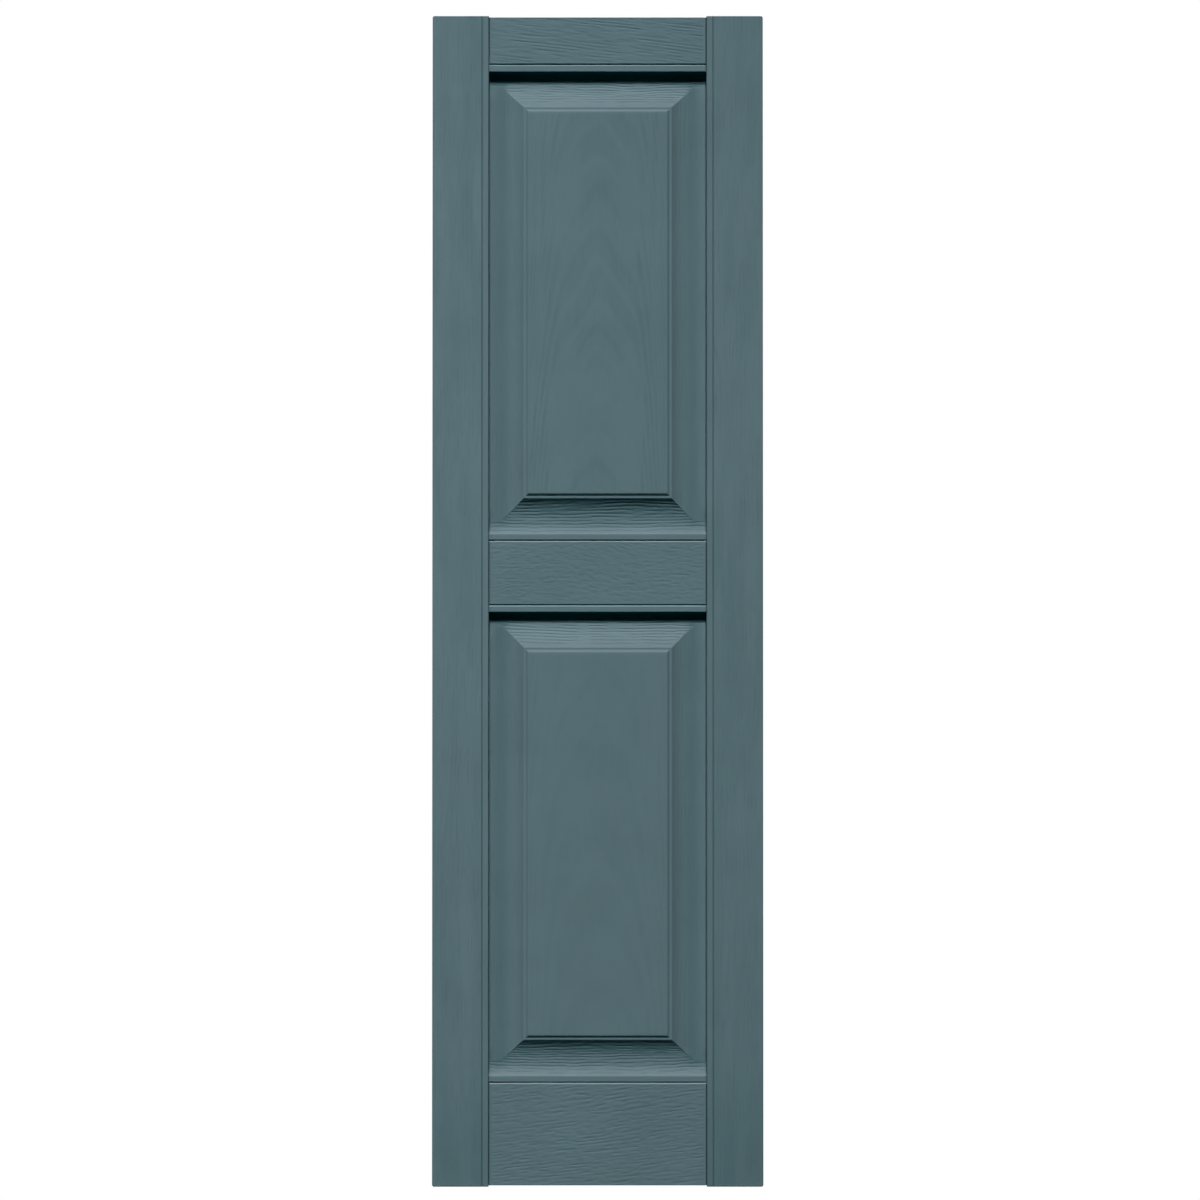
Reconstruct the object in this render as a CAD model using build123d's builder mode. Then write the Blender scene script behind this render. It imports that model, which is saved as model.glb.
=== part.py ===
from build123d import *
import os

# A raised panel shutter of moulded plastic: two full-height stiles, three rails between them and two raised
# panels, each an open-backed shell with its own stiffening ribs, set side by side and bonded wall to wall.
# Millimetres. The back of every piece lies on the wall plane y = 0, the front looks along -Y and +Z is up.
# The origin is the middle of the shutter's height and width, on the wall plane.

# Overall size
overall_width = 374.6
overall_height = 1326.0
overall_depth = 28.6

# Moulded shell
wall = 2.6
rib = 2.0

# Stiles: the face, its groove and the flat bead that the groove sets off along the inner edge
stile_width = 63.8
stile_bead_width = 6.4
stile_groove_width = 2.0
stile_groove_depth = 1.3
stile_corner_round = 2.4
stile_edge_round = 1.6
stile_bays = 10

# Rails
top_rail_height = 54.9
middle_rail_height = 73.0
bottom_rail_height = 117.1
rail_setback = 3.6
rail_end_setback = 0.8
rail_edge_round = 1.1
rail_columns = 4
bottom_rail_rows = 2

# Panels, from the field outwards: step, strip and a hollow cove down to its low line, from which it lifts
# again to the stiles. At the two ends a second, tighter hollow turns up to a bead with a steep riser.
field_setback = 1.8
step_run = 2.6
step_drop = 2.3
strip_width = 2.6
cove_reach = 30.5
cove_drop = 10.0
side_reach = 14.2
side_lift = 2.0
end_reach = 22.9
end_hollow_sink = 0.7
bead_width = 7.9
bead_setback = 3.6
bead_round = 1.2
riser_run = 1.4
riser_height = 6.4
panel_ribs = 4
panel_rib_setback = 3.0

# Places worked out from the sizes
half_height = overall_height / 2
opening_width = overall_width - 2 * stile_width
panel_height = (overall_height - top_rail_height - middle_rail_height - bottom_rail_height) / 2
upper_panel_top = half_height - top_rail_height
middle_rail_top = upper_panel_top - panel_height
middle_rail_bottom = middle_rail_top - middle_rail_height
bottom_rail_top = middle_rail_bottom - panel_height

field_width = opening_width - 2 * (cove_reach + side_reach)
field_height = panel_height - 2 * (cove_reach + end_reach)
rail_rise = overall_depth - rail_setback
field_rise = overall_depth - field_setback
strip_rise = field_rise - step_drop
low_rise = strip_rise - cove_drop
bead_rise = overall_depth - bead_setback


def bay_grid(x_middle, z_middle, width, height, columns, rows):
    """The mouths of equal bays with a rib between neighbours, drawn on the wall plane."""
    column_pitch = (width + rib) / columns
    row_pitch = (height + rib) / rows
    with BuildSketch(Plane.XZ) as bays:
        with Locations((x_middle, z_middle)):
            with GridLocations(column_pitch, row_pitch, columns, rows):
                Rectangle(column_pitch - rib, row_pitch - rib)
    return bays.sketch


def cove_section(inset):
    """The section of the moulding around the field, from the wall plane up to the surface less the inset."""
    edge = field_width / 2
    run = side_reach - inset
    lift = side_lift * (run / side_reach) ** 2
    with BuildSketch() as section:
        with BuildLine():
            low = (edge + cove_reach, inset - low_rise)
            strip_end = (edge + step_run + strip_width - inset / 2, inset - strip_rise)
            outer = (edge + cove_reach + run, inset - low_rise - lift)
            TangentArc(low, strip_end, tangent=(-1, 0))
            Polyline(
                strip_end,
                (edge + step_run - inset / 2, inset - strip_rise),
                (edge - inset / 2, inset - field_rise),
                (edge - inset / 2, 0),
                (edge + cove_reach + run, 0),
                outer,
            )
            TangentArc(low, outer, tangent=(1, 0))
        make_face()
    return section.sketch


def field_path():
    """Once round the field's edge on the wall plane, from the middle of its right side."""
    across, up = field_width / 2, field_height / 2
    with BuildLine(Plane.XZ) as path:
        Polyline((across, 0), (across, up), (-across, up), (-across, -up), (across, -up), (across, 0))
    return path.wire()


def bead_section(inset):
    """The section of the panel's upper end: the bead, its riser and the hollow that runs down to the cove."""
    tip = panel_height / 2
    with BuildSketch(Plane.YZ) as section:
        with BuildLine():
            low = (inset - low_rise + end_hollow_sink, tip - end_reach)
            crest = (inset - bead_rise, tip - bead_width + inset / 2)
            foot = (inset - bead_rise + riser_height, tip - bead_width - riser_run + inset / 2)
            brow = (inset - bead_rise, tip - inset)
            Polyline(low, (0, tip - end_reach), (0, tip - inset), brow, crest, foot)
            TangentArc(low, foot, tangent=(0, 1))
        make_face()
        if inset == 0:
            fillet(section.vertices().sort_by(Axis.X)[:2], radius=bead_round)
    return section.sketch


# Stiles
with BuildPart() as left_stile:
    stile_middle = (stile_width - overall_width) / 2
    groove_middle = -opening_width / 2 - stile_bead_width - stile_groove_width / 2
    with BuildSketch(Plane.XZ) as outline:
        with Locations((stile_middle, 0)):
            Rectangle(stile_width, overall_height)
        fillet(outline.vertices().group_by(Axis.X)[0], radius=stile_corner_round)
    extrude(amount=overall_depth)
    fillet(left_stile.faces().sort_by(Axis.Y)[0].edges(), radius=stile_edge_round)
    with BuildSketch(Plane.XY.offset(-half_height)):
        with BuildLine():
            Polyline(
                (groove_middle - stile_groove_width / 2, -overall_depth),
                (groove_middle, stile_groove_depth - overall_depth),
                (groove_middle + stile_groove_width / 2, -overall_depth),
                close=True,
            )
        make_face()
    extrude(amount=overall_height, mode=Mode.SUBTRACT)
    stile_bay_grid = bay_grid(
        stile_middle, 0, stile_width - 2 * wall, overall_height - 2 * wall, 1, stile_bays
    )
    extrude(to_extrude=stile_bay_grid, amount=overall_depth - wall, mode=Mode.SUBTRACT)

with BuildPart() as right_stile:
    mirror(left_stile.part, about=Plane.YZ)

# Rails
rail_spans = {
    "top_rail": (upper_panel_top, half_height - rail_end_setback, 1),
    "middle_rail": (middle_rail_bottom, middle_rail_top, 1),
    "bottom_rail": (rail_end_setback - half_height, bottom_rail_top, bottom_rail_rows),
}
rails = {}
for name, (bottom, top, rows) in rail_spans.items():
    rail_middle = (bottom + top) / 2
    with BuildPart() as rail:
        with BuildSketch(Plane.XZ):
            with Locations((0, rail_middle)):
                Rectangle(opening_width, top - bottom)
        extrude(amount=rail_rise)
        fillet(rail.faces().sort_by(Axis.Y)[0].edges().filter_by(Axis.X), radius=rail_edge_round)
        rail_bay_grid = bay_grid(
            0, rail_middle, opening_width - 2 * wall, top - bottom - 2 * wall, rail_columns, rows
        )
        extrude(to_extrude=rail_bay_grid, amount=rail_rise - wall, mode=Mode.SUBTRACT)
    rails[name] = rail.part

# The hollow behind a panel, less the ribs that cross it
with BuildPart() as panel_hollow:
    with BuildSketch(Plane.XZ):
        Rectangle(field_width - wall, field_height - wall)
    extrude(amount=field_rise - wall)
    sweep(cove_section(wall), path=field_path(), transition=Transition.RIGHT)
    upper_end = extrude(bead_section(wall), amount=opening_width / 2 - wall, both=True)
    mirror(upper_end, about=Plane.XY)
    panel_rib_pitch = (panel_height - wall) / (panel_ribs + 1)
    with BuildSketch(Plane.XZ.offset(panel_rib_setback)):
        with GridLocations(opening_width, panel_rib_pitch, 1, panel_ribs):
            Rectangle(opening_width, rib)
    extrude(amount=overall_depth, mode=Mode.SUBTRACT)

# One raised panel, about the middle of its own height
with BuildPart() as raised_panel:
    with BuildSketch(Plane.XZ):
        Rectangle(field_width, field_height)
    extrude(amount=field_rise)
    sweep(cove_section(0), path=field_path(), transition=Transition.RIGHT)
    upper_end = extrude(bead_section(0), amount=opening_width / 2, both=True)
    mirror(upper_end, about=Plane.XY)
    add(panel_hollow.part, mode=Mode.SUBTRACT)

panel_middles = {
    "upper_panel": upper_panel_top - panel_height / 2,
    "lower_panel": bottom_rail_top + panel_height / 2,
}
panels = {}
for name, panel_middle in panel_middles.items():
    with BuildPart() as panel:
        with Locations((0, 0, panel_middle)):
            add(raised_panel.part)
    panels[name] = panel.part

pieces = {"left_stile": left_stile.part, "right_stile": right_stile.part, **rails, **panels}
os.makedirs("parts", exist_ok=True)
for name, piece in pieces.items():
    piece.label = name
    export_step(piece, f"parts/{name}.step")
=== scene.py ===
import math

import bmesh
import bpy
import numpy as np
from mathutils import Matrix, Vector


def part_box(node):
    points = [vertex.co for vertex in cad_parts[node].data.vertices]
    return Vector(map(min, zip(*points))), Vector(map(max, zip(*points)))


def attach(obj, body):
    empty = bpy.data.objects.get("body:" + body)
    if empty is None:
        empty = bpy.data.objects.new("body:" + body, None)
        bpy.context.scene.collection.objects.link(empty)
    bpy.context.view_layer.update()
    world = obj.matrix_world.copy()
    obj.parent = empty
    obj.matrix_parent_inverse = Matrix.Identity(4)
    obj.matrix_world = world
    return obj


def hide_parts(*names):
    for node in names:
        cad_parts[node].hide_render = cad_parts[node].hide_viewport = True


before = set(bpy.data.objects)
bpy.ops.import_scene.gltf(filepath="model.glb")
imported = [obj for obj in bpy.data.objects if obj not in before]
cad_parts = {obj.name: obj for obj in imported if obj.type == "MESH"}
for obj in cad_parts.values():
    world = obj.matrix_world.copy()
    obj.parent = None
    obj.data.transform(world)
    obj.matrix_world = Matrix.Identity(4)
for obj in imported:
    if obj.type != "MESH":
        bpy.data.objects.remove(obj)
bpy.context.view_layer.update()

# Sizes of the moulding, in millimetres, as in the solids
DEPTH = 28.6
WALL = 2.6
RIB = 2.0
STILE_EDGE_ROUND = 1.6
STILE_CORNER_ROUND = 2.4
STILE_BEAD = 6.4
STILE_GROOVE = 2.0
STILE_GROOVE_DEPTH = 1.3
STILE_BAYS = 10
RAIL_RISE = 25.0
RAIL_EDGE_ROUND = 1.1
RAIL_COLUMNS = 4
FIELD_RISE = 26.8
STEP_RUN = 2.6
STRIP_RISE = 24.5
STRIP_END = 5.2
COVE_REACH = 30.5
LOW_RISE = 14.5
SIDE_REACH = 14.2
SIDE_LIFT = 2.0
END_REACH = 22.9
END_SINK = 0.7
BEAD_WIDTH = 7.9
BEAD_RISE = 25.0
BEAD_ROUND = 1.2
RISER_RUN = 1.4
RISER_HEIGHT = 6.4
PANEL_RIBS = 4
PANEL_RIB_SETBACK = 3.0

# Gaps and softened edges that only the scene has, in millimetres; pairs of gaps are left and right
PANEL_EDGE_ROUND = 0.8
PANEL_SIDE_GAPS = (0.0, 0.8)
RAIL_SIDE_GAPS = (0.5, 0.7)
SEAM_ROUND = 1.7
GAP_DEPTH = 3.2
SOFT_BEFORE = 0.35
SOFT_AFTER = 0.4

# Cells of the panels' grids, how far ribs run into the wall, the width of a gap's near-upright wall
FIELD_CELLS = (196, 124)
BACK_CELLS = (8, 12)
RIB_SINK = 0.9
SLIVER = 0.02
CREASE = math.radians(24)

# Depth of the grain in millimetres, and its strength on each kind of face
GRAIN_DEPTH = 0.30
RAIL_GRAIN_DEPTH = 0.38
STILE_GRAIN = 1.5
RAIL_GRAIN = 1.3
END_GRAIN = 1.6

# Shares by which the colour is paler, or darker and greener, at some places: random streaks and the field's
# grain bands are the plastic's own; the rest is painted shade in the side hollows, at the stiles' feet and
# under the top beads, painted light on the top coves, and painted highlights on seam edges and the bottom
# beads' crests
PAINTED_HOLLOW_SHADE = -0.12
HOLLOW_MIDDLE = 29.0
HOLLOW_SPREAD = 8.5
BAND_TONE = -0.10
STREAK_TONE = 0.05
PAINTED_FOOT_SHADE = -0.09
FOOT_FADE = (30, 190)
PAINTED_EDGE_HIGHLIGHT = 0.45
PAINTED_COVE_LIGHT = 0.25
PAINTED_RISER_HIGHLIGHT = 0.12
RISER_SPREAD = 1.6
PAINTED_RECESS_SHADOW = -0.5


def node_box(name):
    """A CAD node's lowest and highest corner in millimetres."""
    low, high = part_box(name)
    return np.array(low) * 1000, np.array(high) * 1000


# Smooth noise and grain

def lattice(ix, iy, seed):
    """A fixed value from -1 to 1 for each whole-numbered point."""
    h = (ix * 374761393 + iy * 668265263 + seed * 2147483) & 0xFFFFFFFF
    h = ((h ^ (h >> 13)) * 1274126177) & 0xFFFFFFFF
    h = ((h ^ (h >> 16)) * 2246822519) & 0xFFFFFFFF
    return ((h ^ (h >> 15)) & 0xFFFF) / 32767.5 - 1.0


def noise(x, y, seed):
    """Smooth noise from -1 to 1 with one bump or so per unit."""
    ix, iy = np.floor(x).astype(np.int64), np.floor(y).astype(np.int64)
    fx, fy = x - ix, y - iy
    fx = fx * fx * fx * (fx * (fx * 6 - 15) + 10)
    fy = fy * fy * fy * (fy * (fy * 6 - 15) + 10)
    a, b = lattice(ix, iy, seed), lattice(ix + 1, iy, seed)
    c, d = lattice(ix, iy + 1, seed), lattice(ix + 1, iy + 1, seed)
    return (a * (1 - fx) + b * fx) * (1 - fy) + (c * (1 - fx) + d * fx) * fy


def smooth(low, high, x):
    """0 below low, 1 above high, with a soft climb between."""
    t = np.clip((x - low) / (high - low), 0, 1)
    return t * t * (3 - 2 * t)


def line(phase, width=0.17):
    """A soft groove once per unit of phase: 1 in the groove, 0 between."""
    s = phase - np.floor(phase) - 0.5
    return np.exp(-(s / width) ** 2)


def fibres(along, across, length, width, seed):
    """Short threads that lie along the grain: 1 in a thread's groove, 0 between."""
    long = noise(along / length, across / width, seed)
    short = noise(along / (0.45 * length), across / (0.6 * width), seed + 1)
    return smooth(-0.3, 0.75, 0.6 * long + 0.4 * short)


def straight_grain(
    along, across, slope, period, seed, wave=1.0, rings=0.6, length=22.0, breaks=0.0, swirl=(0, 1, 0)
):
    """Depth from 0 to 1 of nearly straight grain, slanted by slope, as wavy and as ringed as given.

    More breaks leave shorter rings. A swirl is a bend: where along, over what length, by how much.
    """
    bent = across + slope * along + swirl[2] * np.tanh((along - swirl[0]) / swirl[1])
    sway = 2.6 * noise(along / 150, across / 40, seed) + 1.2 * noise(along / 42, across / 14, seed + 1)
    sway = sway + 0.5 * noise(along / 14, across / 6, seed + 5)
    bent = bent + wave * sway
    broken = smooth(breaks - 0.4, breaks + 0.5, noise(along / (1.3 * length), bent / 5, seed + 2))
    ring = line(bent / period + 0.7 * noise(bent / 15, along / 300, seed + 3), 0.18)
    return np.clip(rings * ring * broken + 0.5 * fibres(along, bent, length, 1.9, seed + 6), 0, 1)


def arched_grain(x, z, seed, apart):
    """A plain-sawn board's threads and broad bands, each from 0 to 1.

    The bands are blunt arches that point up, so far apart, and run straight at the flanks.
    """
    x = x + 5.0 * noise(z / 230, x / 400, seed) + 1.3 * noise(z / 60, x / 30, seed + 1)
    reach = np.abs(x)
    flank = smooth(34, 50, reach)
    drop = 0.21 * reach ** 1.5 + 0.15 * np.maximum(reach - 38, 0) ** 2
    phase = (z + drop + (8 - 4 * flank) * noise(x / 24, z / 60, seed + 2)) / apart
    phase = phase + 0.35 * noise(phase / 1.7, z / 500, seed + 4)
    ring = 0.5 + 0.5 * np.sin(2 * math.pi * phase)
    ring = ring * (0.6 + 0.4 * flank) + (0.2 + 0.2 * np.sin(4.7 * math.pi * phase)) * (1 - flank)
    threads = fibres(z, x, 18, 2.0, seed + 6)
    strength = smooth(-0.9, 0.3, noise(z / 120, drop / 50, seed + 3)) * (0.85 + 0.15 * flank)
    band = ring * strength * (0.55 + 0.45 * fibres(z, x, 34, 2.6, seed + 8))
    return np.clip(0.4 * threads + 0.4 * band, 0, 1), band


# Meshes from grids of points

class Skin:
    """Grids of quads to be welded, with the grain's direction and depth and a tone at each point, which
    holds real streaks and bands as well as painted highlights and painted shade.
    """

    def __init__(self):
        self.points, self.grain, self.quads, self.count = [], [], [], 0

    def grid(self, x, z, height, along, across, depth, tone=0.0):
        """Adds one grid of points, by height off the wall plane."""
        rows, columns = x.shape
        self.points.append(np.stack([x, -height, z], -1).reshape(-1, 3))
        self.grain.append(np.stack([along, across, depth, tone + np.zeros_like(x)], -1).reshape(-1, 4))
        index = np.arange(rows * columns).reshape(rows, columns) + self.count
        corners = [index[:-1, :-1], index[:-1, 1:], index[1:, 1:], index[1:, :-1]]
        self.quads.append(np.stack(corners, -1).reshape(-1, 4))
        self.count += rows * columns

    def into(self, bm):
        """Adds the welded grids to a bmesh and returns its new vertices."""
        points, grain, quads = map(np.concatenate, (self.points, self.grain, self.quads))
        _, first, back = np.unique(np.round(points, 4), axis=0, return_index=True, return_inverse=True)
        back = back.reshape(-1)
        layer, tone = bm.verts.layers.float_vector["grain"], bm.verts.layers.float["tone"]
        made = []
        for p, g in zip(points[first] / 1000, grain[first]):
            v = bm.verts.new(p)
            v[layer] = g[:3]
            v[tone] = g[3]
            made.append(v)
        for quad in back[quads]:
            ring = [made[i] for i in dict.fromkeys(quad.tolist())]
            if len(ring) > 2:
                bm.faces.new(ring)
        return made


def new_bmesh():
    """An empty bmesh with the two layers that the material reads."""
    bm = bmesh.new()
    bm.verts.layers.float_vector.new("grain")
    bm.verts.layers.float.new("tone")
    return bm


def drop_rim(bm, verts):
    """Walls from the open edge of these vertices' faces back to the wall plane. Returns the edges there."""
    open_edges = dict.fromkeys(e for v in verts for e in v.link_edges if len(e.link_faces) == 1)
    grown = bmesh.ops.extrude_edge_only(bm, edges=list(open_edges))["geom"]
    for v in (g for g in grown if isinstance(g, bmesh.types.BMVert)):
        v.co.y = 0.0
    edges = [g for g in grown if isinstance(g, bmesh.types.BMEdge)]
    return [e for e in edges if all(abs(v.co.y) < 1e-9 for v in e.verts)]


def pocket(bm, x0, x1, z0, z1, ceiling):
    """An open-backed box in the wall plane. Returns the edges of its mouth."""
    skin = Skin()
    x, z = np.meshgrid([x0, x1], [z0, z1])
    skin.grid(x, z, np.full_like(x, ceiling), z, x, np.zeros_like(x))
    return drop_rim(bm, skin.into(bm))


def solid_bar(bm, outline, z0, z1):
    """A closed bar from z0 up to z1, from an outline of points (x, height off the wall plane)."""
    layer = bm.verts.layers.float_vector["grain"]
    ends = []
    for z in (z0, z1):
        ring = [bm.verts.new((x / 1000, -h / 1000, z / 1000)) for x, h in outline]
        for v, (x, h) in zip(ring, outline):
            v[layer] = (x, h, 0)
        ends.append(ring)
    bm.faces.new(ends[0])
    bm.faces.new(ends[1][::-1])
    for i in range(len(outline)):
        j = (i + 1) % len(outline)
        bm.faces.new((ends[0][i], ends[1][i], ends[1][j], ends[0][j]))


def finish_piece(bm, name, material, rim_edges):
    """Closes the back rim and makes the piece that stands in for the named node."""
    bmesh.ops.triangle_fill(bm, use_beauty=True, use_dissolve=False, edges=rim_edges, normal=(0, 1, 0))
    bmesh.ops.recalc_face_normals(bm, faces=bm.faces)
    mesh = bpy.data.meshes.new(name + "_grained")
    for f in bm.faces:
        f.smooth = True
    for e in bm.edges:
        if len(e.link_faces) == 2 and e.calc_face_angle(0) > CREASE:
            e.smooth = False
    bm.to_mesh(mesh)
    bm.free()
    piece = bpy.data.objects.new(name + "_grained", mesh)
    bpy.context.scene.collection.objects.link(piece)
    mesh.materials.append(material)
    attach(piece, "root")
    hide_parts(name)


def rounded(distance, radius):
    """How far a rounded edge lies below its face at this distance from the outline."""
    inside = np.clip(radius - distance, 0, radius)
    return radius - np.sqrt(radius * radius - inside * inside)


def pale(distance):
    """A painted highlight: the paler tone of an edge that looks up beside a seam, by distance from that
    edge.
    """
    return PAINTED_EDGE_HIGHLIGHT * (1 - smooth(0.5 * SEAM_ROUND, SEAM_ROUND, np.abs(distance)))


def seam_edge(distance, gap, radius):
    """How far an edge with a narrow dark gap beside it lies below its face, by distance from the outline."""
    return np.where(distance < gap - 1e-6, GAP_DEPTH, rounded(distance - gap, radius))


def cuts(*stops):
    """Points along a line from (start, end, step) runs, without repeats."""
    runs = [np.linspace(a, b, max(1, round(abs(b - a) / step)) + 1) for a, b, step in stops]
    return np.unique(np.round(np.concatenate(runs), 5))


# The three kinds of piece

def make_stile(name, material, seed, slant):
    """A stile with its groove and bead, laid out from its outer edge inwards."""
    (x0, _, z0), (x1, _, z1) = node_box(name)
    left = x0 < 0
    width, length = x1 - x0, z1 - z0
    r, corner = STILE_EDGE_ROUND, STILE_CORNER_ROUND
    groove = width - STILE_BEAD - STILE_GROOVE
    across = cuts((0, r, 0.27), (r, groove, 0.75), (groove, groove + STILE_GROOVE, 0.25),
                  (groove + STILE_GROOVE, width - r, 0.7), (width - r, width, 0.27))
    up = cuts((0, r, 0.27), (r, corner, 0.3), (corner, length - corner, 4.5),
              (length - corner, length - r, 0.3), (length - r, length, 0.27))
    a, u = np.meshgrid(across, up)
    end = np.minimum(u, length - u)
    tuck = rounded(end, corner)
    place = tuck + a * (width - tuck) / width
    edge = np.minimum(np.minimum(place - tuck, width - place), end)
    height = DEPTH - rounded(edge, r)
    beside = np.abs(place - groove - STILE_GROOVE / 2)
    vee = 1 - beside / (STILE_GROOVE / 2)
    weight = smooth(r * 0.7, r + 1.4, edge) * smooth(1.0, 2.2, beside)
    weight = weight * np.where(place > groove, 0.45, 1.0)
    grain = STILE_GRAIN * straight_grain(u, place, slant, 4.4, seed) * weight
    height = np.minimum(height, DEPTH - STILE_GROOVE_DEPTH * np.clip(vee, 0, 1)) - GRAIN_DEPTH * grain
    x = x0 + place if left else x1 - place
    streaks_and_foot_shade = STREAK_TONE * noise((u + 2.5 * place) / 95, place / 13, seed + 9)
    # Painted shade: the stile grows darker toward its foot, on top of its random streaks
    streaks_and_foot_shade = streaks_and_foot_shade + PAINTED_FOOT_SHADE * (1 - smooth(*FOOT_FADE, u))
    skin = Skin()
    skin.grid(x, z0 + u, height, u, place, grain, streaks_and_foot_shade)
    bm = new_bmesh()
    rim = drop_rim(bm, skin.into(bm))
    pitch = (length - 2 * WALL + RIB) / STILE_BAYS
    for i in range(STILE_BAYS):
        low = z0 + WALL + i * pitch
        rim += pocket(bm, x0 + WALL, x1 - WALL, low, low + pitch - RIB, DEPTH - WALL)
    finish_piece(bm, name, material, rim)


def make_rail(name, material, seed, slant, rows, gaps, rings, length, swirl=(0, 1, 0), period=4.3, wave=0.7):
    """A rail with so many rows of bays, gaps to the stiles, and the given gaps below and above it."""
    (x0, _, z0), (x1, _, z1) = node_box(name)
    width, tall = x1 - x0, z1 - z0
    r = RAIL_EDGE_ROUND
    below, above = gaps
    crown = SEAM_ROUND if name != "top_rail" else r
    up = cuts((0, below, 0.4), (below + SLIVER, below + r, 0.2), (below + r, tall - above - crown, 0.72),
              (tall - above - crown, tall - above - SLIVER, 0.2), (tall - above, tall, 0.4))
    near, far = RAIL_SIDE_GAPS[0], width - RAIL_SIDE_GAPS[1]
    across = cuts((0, near, 0.4), (near + SLIVER, near + r, 0.22), (near + r, far - r, 1.6),
                  (far - r, far - SLIVER, 0.22), (far, width, 0.6))
    a, u = np.meshgrid(across, up)
    edge = np.minimum(np.minimum(u - below, tall - above - u), np.minimum(a - near, far - a))
    weight = smooth(r * 0.7, r + 1.2, edge)
    grain = straight_grain(a, u, -slant, period, seed, wave, rings, length, swirl=swirl)
    grain = grain * weight * RAIL_GRAIN
    fall = np.maximum(rounded(np.maximum(edge, 0), r), rounded(np.maximum(tall - above - u, 0), crown))
    height = RAIL_RISE - np.where(edge < -1e-6, GAP_DEPTH, fall) - RAIL_GRAIN_DEPTH * grain
    # Painted highlight along the rail's upper edge beside the seam
    tone = pale(tall - above - u) if crown > r else 0.0
    skin = Skin()
    skin.grid(x0 + a, z0 + u, height, a, u, grain, tone)
    bm = new_bmesh()
    rim = drop_rim(bm, skin.into(bm))
    pitch_x = (width - 2 * WALL + RIB) / RAIL_COLUMNS
    pitch_z = (tall - 2 * WALL + RIB) / rows
    for i in range(RAIL_COLUMNS):
        for j in range(rows):
            left, low = x0 + WALL + i * pitch_x, z0 + WALL + j * pitch_z
            rim += pocket(bm, left, left + pitch_x - RIB, low, low + pitch_z - RIB, RAIL_RISE - WALL)
    finish_piece(bm, name, material, rim)


def hollow(s, low, run, rise):
    """Height of an arc that leaves its lowest point level and climbs rise over run."""
    radius = (run * run + rise * rise) / (2 * rise)
    return low + radius - np.sqrt(np.maximum(radius * radius - s * s, 0))


class PanelForm:
    """Heights of a panel's front, or with an inset those of the hollow behind it."""

    def __init__(self, inset, gaps):
        self.inset, self.gaps = inset, gaps
        back = inset / 2
        # The field's rounded brow, the sloping step, its rounded foot and the strip
        self.steps = np.array([
            (-0.4 - back, FIELD_RISE), (-0.1 - back, FIELD_RISE - 0.06), (0.2 - back, FIELD_RISE - 0.26),
            (STEP_RUN - 0.25 - back, STRIP_RISE + 0.24), (STEP_RUN - back, STRIP_RISE + 0.07),
            (STEP_RUN + 0.3 - back, STRIP_RISE), (STRIP_END - SOFT_BEFORE - back, STRIP_RISE - 0.02),
        ]) - (0, inset)
        self.strip_end = STRIP_END - back
        self.run = SIDE_REACH - inset

    def ring(self, s, share=1.0):
        """By distance outside the field's edge: step, strip, cove and a share of the lift to the stile."""
        cove = hollow(np.clip(COVE_REACH - s, 0, COVE_REACH - self.strip_end), LOW_RISE - self.inset,
                      COVE_REACH - self.strip_end, STRIP_RISE - LOW_RISE)
        lift = hollow(np.clip(s - COVE_REACH, 0, self.run), LOW_RISE - self.inset, SIDE_REACH, SIDE_LIFT)
        lift = LOW_RISE - self.inset + share * (lift - LOW_RISE + self.inset)
        steps = np.interp(s, self.steps[:, 0], self.steps[:, 1])
        before, after = self.strip_end - SOFT_BEFORE, self.strip_end + SOFT_AFTER
        soft = np.interp(s, [before, after], [self.steps[-1, 1], self.cove_at(after)])
        out = np.where(s < before, steps, np.where(s < after, soft, cove))
        return np.where(s > COVE_REACH, lift, out)

    def cove_at(self, s):
        """Height of the cove at one distance outside the field's edge."""
        return float(hollow(np.float64(COVE_REACH - s), LOW_RISE - self.inset, COVE_REACH - self.strip_end,
                            STRIP_RISE - LOW_RISE))

    def end(self, s, up):
        """Past the low line, by distance outside the field's edge: second hollow, riser and bead."""
        tip = COVE_REACH + END_REACH
        crest = tip - BEAD_WIDTH + self.inset / 2
        foot = crest - RISER_RUN
        run, rise = foot - COVE_REACH, BEAD_RISE - RISER_HEIGHT - LOW_RISE + END_SINK
        low = LOW_RISE - self.inset - END_SINK
        climb = hollow(np.clip(s - COVE_REACH, 0, run), low, run, rise)
        climb = climb + np.clip((s - foot) / RISER_RUN, 0, 1) * RISER_HEIGHT
        if self.inset:
            return climb
        turn = math.atan(RISER_HEIGHT / RISER_RUN)
        centre = crest + BEAD_ROUND * math.tan(turn / 2)
        inside = np.clip(centre - s, 0, BEAD_ROUND)
        crown = BEAD_RISE - BEAD_ROUND + np.sqrt(np.maximum(BEAD_ROUND**2 - inside**2, 0))
        start = centre - BEAD_ROUND * math.sin(turn)
        gap = np.where(up > 0, self.gaps[1], self.gaps[0])
        edge_round = np.where(up > 0, SEAM_ROUND, BEAD_ROUND)
        return np.where(s < start, climb, crown - seam_edge(tip - s, gap, edge_round))

    def height(self, sx, sz, x, z):
        """Height by the distances outside the field's edges, across and up, at a place on the panel."""
        share = 1 - smooth(COVE_REACH - 14, COVE_REACH, sz)
        ring = self.ring(np.minimum(np.maximum(sx, sz), COVE_REACH + self.run), share)
        end = self.end(sz, z)
        turn = np.maximum(END_SINK - np.abs(end - ring), 0) ** 2 / (4 * END_SINK)
        out = np.where(sz > COVE_REACH, np.maximum(ring, end) + turn, ring)
        if self.inset:
            return out
        gap = np.where(x < 0, *PANEL_SIDE_GAPS)
        return out - seam_edge(COVE_REACH + SIDE_REACH - sx, gap, PANEL_EDGE_ROUND)


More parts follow.
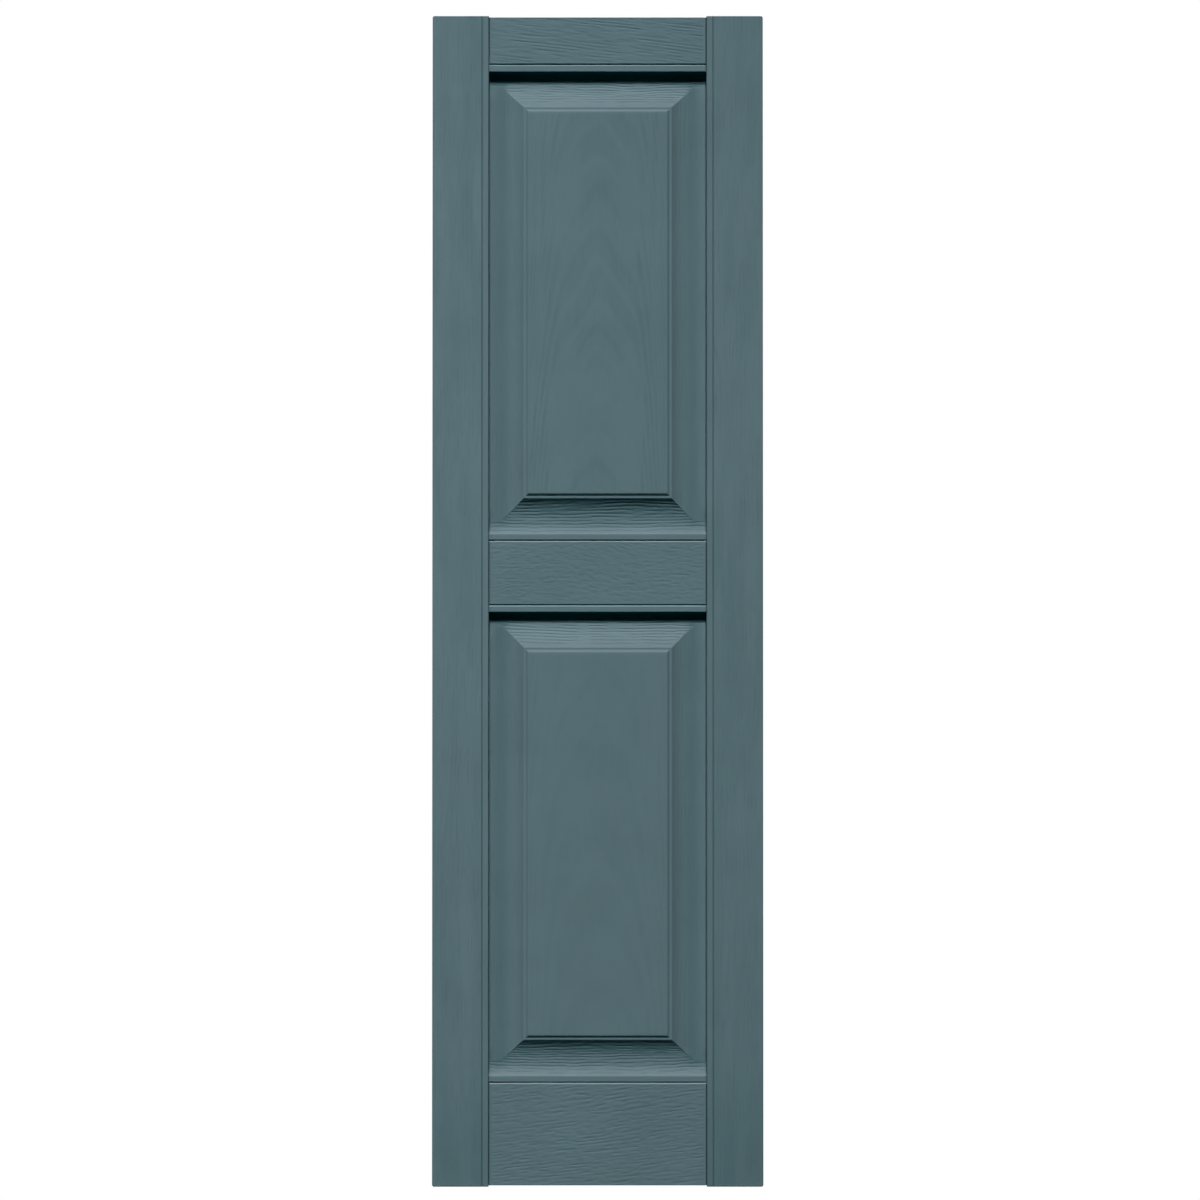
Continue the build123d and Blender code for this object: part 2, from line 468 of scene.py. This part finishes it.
def panel_grids(form, half_w, half_h, across, sides, ends, columns, rows, paint):
    """Grids over a whole panel: the field, four mitred coves, the two sides and the two ends."""
    skin = Skin()
    v, u = np.linspace(-1, 1, columns + 1), np.linspace(-1, 1, rows + 1)

    def lay(x, z, kind):
        """Adds one grid of this kind of face."""
        sx, sz = np.abs(x) - half_w, np.abs(z) - half_h
        height = form.height(sx, sz, x, z)
        along, over, depth, tone = paint(x, z, sx, sz, kind)
        skin.grid(x, z, height - GRAIN_DEPTH * depth, along, over, depth, tone)

    x, z = np.meshgrid(v * (half_w + across[0]), u * (half_h + across[0]))
    lay(x, z, "field")
    left, right = sides
    for sign, side, end in zip((-1, 1), sides, ends):
        s, t = np.meshgrid(across, u)
        lay(sign * (half_w + s), t * (half_h + s), "side")
        t, s = np.meshgrid(v, across)
        lay(t * (half_w + s), sign * (half_h + s), "end")
        s, t = np.meshgrid(side, u)
        lay(sign * (half_w + s), t * (half_h + COVE_REACH), "side")
        row = np.concatenate([-(half_w + left[:0:-1]), v * (half_w + COVE_REACH), half_w + right[1:]])
        x, s = np.meshgrid(row, end)
        lay(x, sign * (half_h + s), "end")
    return skin


def make_panel(name, material, seed, gaps, arches, strength):
    """A raised panel, with its gaps below and above and its field's arches so far apart and so strong."""
    (x0, _, z0), (x1, _, z1) = node_box(name)
    middle = (z0 + z1) / 2
    half_w = (x1 - x0) / 2 - COVE_REACH - SIDE_REACH
    half_h = (z1 - z0) / 2 - COVE_REACH - END_REACH

    def paint(x, z, sx, sz, kind):
        """The grain's direction and depth and the tone, for one kind of face; the tone holds grain bands and
        also painted shade and painted highlights.
        """
        if kind == "field":
            inside = smooth(0.5, 2.0, np.minimum(-sx, -sz)) * strength
            threads, band = arched_grain(x, z, seed, arches)
            return z, x, threads * inside, BAND_TONE * band * inside
        flat = smooth(STRIP_END + 0.2, STRIP_END + 1.6, np.maximum(sx, sz))
        # Painted shade: darker and greener along the low line of the coves, where the hollows lie in shade
        hollow_shade_paint = PAINTED_HOLLOW_SHADE * np.exp(-((np.maximum(sx, sz) - HOLLOW_MIDDLE) / HOLLOW_SPREAD) ** 2)
        if kind == "side":
            mitre = np.where(sx < COVE_REACH, sx - sz, half_h + COVE_REACH - np.abs(z))
            rim = smooth(0.0, 1.2, COVE_REACH + SIDE_REACH - sx)
            grain = straight_grain(z, sx, 0.006, 3.9, seed + 20 + (11 if np.mean(x) > 0 else 0))
            return z, sx, grain * flat * smooth(0.0, 1.2, mitre) * rim, hollow_shade_paint
        mitre = np.where(sz < COVE_REACH, sz - sx, 1.2)
        corner = np.where(sz >= COVE_REACH, smooth(0.0, 2.0, COVE_REACH + SIDE_REACH - sx), 1.0)
        crest = COVE_REACH + END_REACH - BEAD_WIDTH
        bead = 1 - 0.85 * smooth(crest - 1.5, crest, sz)
        tip = smooth(0.0, 2.0, COVE_REACH + END_REACH - sz)
        border = np.where(sz >= COVE_REACH, smooth(0.0, 1.0, sz - COVE_REACH) + (sx < COVE_REACH), 1.0)
        side_seed = seed + 40 + (11 if np.mean(z) > 0 else 0)
        grain = END_GRAIN * straight_grain(x, sz, 0.012, 3.6, side_seed, 1.1, 1.0, 12.0, -0.45)
        depth = grain * flat * smooth(0.0, 1.2, mitre) * corner * bead * tip * np.clip(border, 0, 1)
        # The same painted shade of the side hollows, carried into the corners of the ends
        tone = hollow_shade_paint * smooth(COVE_REACH - 16, COVE_REACH, sx)
        if np.mean(z) > 0:
            # Top ends: painted light on the cove below the bead's shadow, painted shadow in the hollow under
            # the bead, and a painted highlight on the bead's edge at the seam
            slope = smooth(8, 24, sz) * (1 - smooth(COVE_REACH, COVE_REACH + 4, sz))
            recess = smooth(COVE_REACH + 1, COVE_REACH + 8, sz) * (1 - smooth(crest - 0.4, crest + 0.3, sz))
            inner = 1 - smooth(COVE_REACH - 10, COVE_REACH, sx)
            tone = tone + PAINTED_COVE_LIGHT * slope * inner + PAINTED_RECESS_SHADOW * recess
            tone = tone + pale(COVE_REACH + END_REACH - gaps[1] - sz)
        else:
            # Bottom ends: a painted highlight along the bead's crest
            tone = tone + PAINTED_RISER_HIGHLIGHT * np.exp(-((sz - crest) / RISER_SPREAD) ** 2)
        return x, sz, depth, tone

    def plain(x, z, sx, sz, kind):
        """The back, with no grain and no tone."""
        return z, x, np.zeros_like(x), 0.0

    front = PanelForm(0.0, gaps)
    tip = COVE_REACH + END_REACH
    before, after = STRIP_END - SOFT_BEFORE, STRIP_END + SOFT_AFTER
    across = cuts((-0.4, STEP_RUN + 0.3, 0.3), (STEP_RUN + 0.3, before, 0.6), (before, after, 0.25),
                  (after, COVE_REACH, 0.72))
    brim, r = COVE_REACH + SIDE_REACH, PANEL_EDGE_ROUND
    sides = [cuts((COVE_REACH, brim - gap - r, 0.75), (brim - gap - r, brim - gap, 0.2),
                  (brim - gap + SLIVER, brim, 0.9)) for gap in PANEL_SIDE_GAPS]
    crest = tip - BEAD_WIDTH
    ends = [cuts((COVE_REACH, crest - RISER_RUN, 0.72), (crest - RISER_RUN, crest + 1.2, 0.2),
                 (crest + 1.2, tip - gap - SEAM_ROUND, 0.8), (tip - gap - SEAM_ROUND, tip - gap, 0.2),
                 (tip - gap + SLIVER, tip, 0.4)) for gap in gaps]
    skin = panel_grids(front, half_w, half_h, across, sides, ends, *FIELD_CELLS, paint)

    back = PanelForm(WALL, gaps)
    across = cuts((-0.4 - WALL / 2, STRIP_END - WALL / 2, 1.0), (STRIP_END - WALL / 2, COVE_REACH, 2.6))
    side = cuts((COVE_REACH, COVE_REACH + SIDE_REACH - WALL, 2.4))
    crest = tip - BEAD_WIDTH + WALL / 2
    end = cuts((COVE_REACH, crest - RISER_RUN, 2.0), (crest - RISER_RUN, crest, 1.2),
               (crest, tip - WALL, 2.0))
    inside = panel_grids(back, half_w, half_h, across, (side, side), (end, end), *BACK_CELLS, plain)

    bm = new_bmesh()
    for made in (skin, inside):
        for p in made.points:
            p[:, 2] += middle
    rim = drop_rim(bm, skin.into(bm))
    rim += drop_rim(bm, inside.into(bm))
    pitch = (z1 - z0 - WALL) / (PANEL_RIBS + 1)
    reach = half_w + COVE_REACH + SIDE_REACH - WALL
    stops = cuts((-1.7, 3.4, 0.85), (3.4, 42.0, 2.6))
    profile = [(half_w + s, float(back.ring(np.float64(s))) + RIB_SINK) for s in stops]
    outline = [(-x, h) for x, h in profile[::-1]] + profile
    outline = [(-reach - RIB_SINK, PANEL_RIB_SETBACK), (-reach - RIB_SINK, profile[-1][1])] + outline
    outline += [(reach + RIB_SINK, profile[-1][1]), (reach + RIB_SINK, PANEL_RIB_SETBACK)]
    for i in range(PANEL_RIBS):
        z = middle + (i - (PANEL_RIBS - 1) / 2) * pitch
        solid_bar(bm, outline, z - RIB / 2, z + RIB / 2)
    finish_piece(bm, name, material, rim)


# Material

def moulded_plastic(name, tint):
    """Blue-grey plastic coloured through, matte, with fine fibres and pores along the moulded grain, and
    painted highlights and painted shade in its colour.
    """
    material = bpy.data.materials.new(name)
    material.use_nodes = True
    tree = material.node_tree
    nodes, links = tree.nodes, tree.links
    bsdf = nodes["Principled BSDF"]
    bsdf.inputs["Specular IOR Level"].default_value = 0.01
    grain = nodes.new("ShaderNodeAttribute")
    grain.attribute_name = "grain"
    split = nodes.new("ShaderNodeSeparateXYZ")
    links.new(grain.outputs["Vector"], split.inputs[0])

    def scaled(along, across):
        """Places along and across the grain, so many units to the millimetre."""
        mapping = nodes.new("ShaderNodeMapping")
        mapping.inputs["Scale"].default_value = (along, across, 0.0)
        links.new(grain.outputs["Vector"], mapping.inputs["Vector"])
        return mapping.outputs["Vector"]

    def noise_node(vector, scale, detail, rough):
        """A noise texture read at the vector."""
        n = nodes.new("ShaderNodeTexNoise")
        n.inputs["Scale"].default_value = scale
        n.inputs["Detail"].default_value = detail
        n.inputs["Roughness"].default_value = rough
        links.new(vector, n.inputs["Vector"])
        return n.outputs["Fac"]

    def math_node(kind, a, b):
        """Arithmetic on two values, each a socket or a number."""
        m = nodes.new("ShaderNodeMath")
        m.operation = kind
        for socket, value in zip(m.inputs, (a, b)):
            if isinstance(value, float):
                socket.default_value = value
            else:
                links.new(value, socket)
        return m.outputs[0]

    def vector_node(kind, a, b):
        """Arithmetic on vectors, or a vector scaled by a value; constants are tuples."""
        m = nodes.new("ShaderNodeVectorMath")
        m.operation = kind
        for socket, value in ((m.inputs[0], a), (m.inputs["Scale"] if kind == "SCALE" else m.inputs[1], b)):
            if isinstance(value, tuple):
                socket.default_value = value
            else:
                links.new(value, socket)
        return m.outputs[0]

    tone = nodes.new("ShaderNodeAttribute")
    tone.attribute_name = "tone"
    place = nodes.new("ShaderNodeTexCoord")
    fibres = noise_node(scaled(0.030, 0.85), 1.0, 3.0, 0.6)
    pores = noise_node(scaled(0.085, 1.4), 1.0, 1.0, 0.5)
    mottle = noise_node(place.outputs["Object"], 14.0, 4.0, 0.55)
    mould = noise_node(place.outputs["Object"], 1900.0, 2.0, 0.5)
    pit = nodes.new("ShaderNodeMapRange")
    pit.interpolation_type = "SMOOTHSTEP"
    pit.inputs["From Min"].default_value = 0.60
    pit.inputs["From Max"].default_value = 0.72
    links.new(pores, pit.inputs["Value"])

    pits = math_node("MULTIPLY", pit.outputs[0], 0.35)
    relief = math_node("SUBTRACT", math_node("MULTIPLY", fibres, 0.9), pits)
    relief = math_node("ADD", relief, math_node("MULTIPLY", mould, 0.14))
    bump = nodes.new("ShaderNodeBump")
    bump.inputs["Strength"].default_value = 0.55
    bump.inputs["Distance"].default_value = 0.00016
    links.new(relief, bump.inputs["Height"])
    links.new(bump.outputs["Normal"], bsdf.inputs["Normal"])

    shade = math_node("ADD", math_node("MULTIPLY", mottle, 0.18), 0.92)
    shade = math_node("SUBTRACT", shade, math_node("MULTIPLY", split.outputs["Z"], 0.05))
    shade = math_node("SUBTRACT", shade, math_node("MULTIPLY", pit.outputs[0], 0.03))
    # The tone holds grain bands and streaks and also painted highlights and painted shade; darker tints lose
    # more red
    darker = math_node("MINIMUM", tone.outputs["Fac"], 0.0)
    paler = math_node("MAXIMUM", tone.outputs["Fac"], 0.0)
    shift = vector_node("SCALE", (1.6, 1.0, 1.0), darker)
    shift = vector_node("ADD", shift, vector_node("SCALE", (1.3, 1.0, 1.0), paler))
    # Painted light by which way a face looks: faces that look up are paler and redder as a painted
    # highlight, and faces that look down are darker and greener as painted shade
    face = nodes.new("ShaderNodeSeparateXYZ")
    links.new(place.outputs["Normal"], face.inputs[0])
    shift = vector_node("ADD", shift, vector_node("SCALE", (0.36, 0.10, 0.10), face.outputs["Z"]))
    down = math_node("MINIMUM", face.outputs["Z"], 0.0)
    shift = vector_node("ADD", shift, vector_node("SCALE", (0.22, 0.0, 0.0), down))
    shift = vector_node("ADD", shift, (1.0, 1.0, 1.0))
    colour = vector_node("MULTIPLY", vector_node("SCALE", tint, shade), shift)
    links.new(colour, bsdf.inputs["Base Color"])
    rough = math_node("ADD", math_node("MULTIPLY", fibres, 0.14), 0.50)
    rough = math_node("ADD", rough, math_node("MULTIPLY", split.outputs["Z"], 0.08))
    links.new(rough, bsdf.inputs["Roughness"])
    return material


plastic = moulded_plastic("moulded_plastic", (0.104, 0.170, 0.190))

make_stile("left_stile", plastic, seed=3, slant=0.004)
make_stile("right_stile", plastic, seed=61, slant=-0.005)
make_rail("top_rail", plastic, seed=120, slant=-0.12, rows=1, gaps=(0.9, 0.0), rings=0.65, length=15.0,
          period=3.6, wave=0.35)
make_rail("middle_rail", plastic, seed=150, slant=0.03, rows=1, gaps=(0.45, 0.35), rings=0.25, length=5.5,
          swirl=(140, 45, 15))
make_rail("bottom_rail", plastic, seed=180, slant=0.13, rows=2, gaps=(0.0, 0.55), rings=0.55, length=8.0)
make_panel("upper_panel", plastic, seed=210, gaps=(0.55, 0.0), arches=52.0, strength=1.0)
make_panel("lower_panel", plastic, seed=300, gaps=(0.35, 0.45), arches=90.0, strength=0.45)


# Stage, light and camera

def lamp(name, place, target, size, strength, spread=180.0):
    """A soft rectangular light, size across by size up."""
    data = bpy.data.lights.new(name, "AREA")
    data.shape = "RECTANGLE"
    data.size, data.size_y = size
    data.energy = strength
    data.spread = math.radians(spread)
    light = bpy.data.objects.new(name, data)
    bpy.context.scene.collection.objects.link(light)
    light.location = place
    light.rotation_euler = (Vector(target) - Vector(place)).to_track_quat("-Z", "Y").to_euler()


def background_rays(tree):
    """1 for rays that show the background: from the camera, off gloss and through glass."""
    path = tree.nodes.new("ShaderNodeLightPath")
    seen = path.outputs["Is Camera Ray"]
    for kind in ("Is Glossy Ray", "Is Transmission Ray"):
        either = tree.nodes.new("ShaderNodeMath")
        either.operation = "MAXIMUM"
        tree.links.new(seen, either.inputs[0])
        tree.links.new(path.outputs[kind], either.inputs[1])
        seen = either.outputs[0]
    return seen


def make_floor():
    """A floor well below the shutter, nearly white where rays show it and dark to the rest of the light."""
    corners = [(-1.5, -1.4, -1.5), (1.5, -1.4, -1.5), (1.5, 0.9, -1.5), (-1.5, 0.9, -1.5)]
    mesh = bpy.data.meshes.new("floor")
    mesh.from_pydata(corners, [], [(0, 1, 2, 3)])
    floor = bpy.data.objects.new("floor", mesh)
    bpy.context.scene.collection.objects.link(floor)
    material = bpy.data.materials.new("pale_floor")
    material.use_nodes = True
    tree = material.node_tree
    matte = tree.nodes["Principled BSDF"]
    matte.inputs["Base Color"].default_value = (0.05, 0.05, 0.05, 1)
    matte.inputs["Roughness"].default_value = 0.9
    glow = tree.nodes.new("ShaderNodeEmission")
    glow.inputs["Color"].default_value = (0.75, 0.75, 0.75, 1)
    both = tree.nodes.new("ShaderNodeAddShader")
    seen = tree.nodes.new("ShaderNodeMixShader")
    tree.links.new(matte.outputs[0], both.inputs[0])
    tree.links.new(glow.outputs[0], both.inputs[1])
    tree.links.new(background_rays(tree), seen.inputs[0])
    tree.links.new(matte.outputs[0], seen.inputs[1])
    tree.links.new(both.outputs[0], seen.inputs[2])
    tree.links.new(seen.outputs[0], tree.nodes["Material Output"].inputs["Surface"])
    mesh.materials.append(material)


def make_world():
    """White where rays show the background, and nearly no light from it otherwise."""
    world = bpy.data.worlds.new("studio")
    bpy.context.scene.world = world
    world.use_nodes = True
    tree = world.node_tree
    dim = tree.nodes.new("ShaderNodeBackground")
    dim.inputs["Color"].default_value = (1, 1, 1, 1)
    dim.inputs["Strength"].default_value = 0.004
    white = tree.nodes["Background"]
    white.inputs["Color"].default_value = (1, 1, 1, 1)
    white.inputs["Strength"].default_value = 1.0
    mix = tree.nodes.new("ShaderNodeMixShader")
    tree.links.new(background_rays(tree), mix.inputs[0])
    tree.links.new(dim.outputs[0], mix.inputs[1])
    tree.links.new(white.outputs[0], mix.inputs[2])
    tree.links.new(mix.outputs[0], tree.nodes["World Output"].inputs["Surface"])


def make_camera():
    """The photo's view: straight from the front, a little below the middle and tilted slightly up."""
    data = bpy.data.cameras.new("camera")
    data.sensor_width = 36.0
    data.lens = 68.91
    data.clip_start, data.clip_end = 0.1, 50.0
    camera = bpy.data.objects.new("camera", data)
    bpy.context.scene.collection.objects.link(camera)
    camera.location = (0.0026, -2.6286, -0.0202)
    camera.rotation_euler = (math.radians(90.45), 0, 0)
    bpy.context.scene.camera = camera


lamp("key", (-0.45, -9.3, 10.4), (-0.95, 0, 0.0), (3.2, 2.4), 82.0, 30.0)
lamp("left", (-7.2, -7.0, 7.9), (-0.2, 0, 0.0), (6.0, 1.8), 12.0, 30.0)
lamp("back_left", (-0.4, 3.0, 1.6), (0, 0, 0), (1.6, 1.6), 60.0)
lamp("back_right", (0.4, 3.0, 1.0), (0, 0, 0), (1.6, 1.6), 40.0)
lamp("side_left", (-2.6, 0.7, 0.6), (0, 0.1, 0), (1.0, 1.0), 3.0)
lamp("side_right", (2.6, 0.7, 0.6), (0, 0.1, 0), (1.0, 1.0), 8.0)
make_floor()
make_world()
make_camera()
bpy.context.scene.view_settings.view_transform = "Standard"
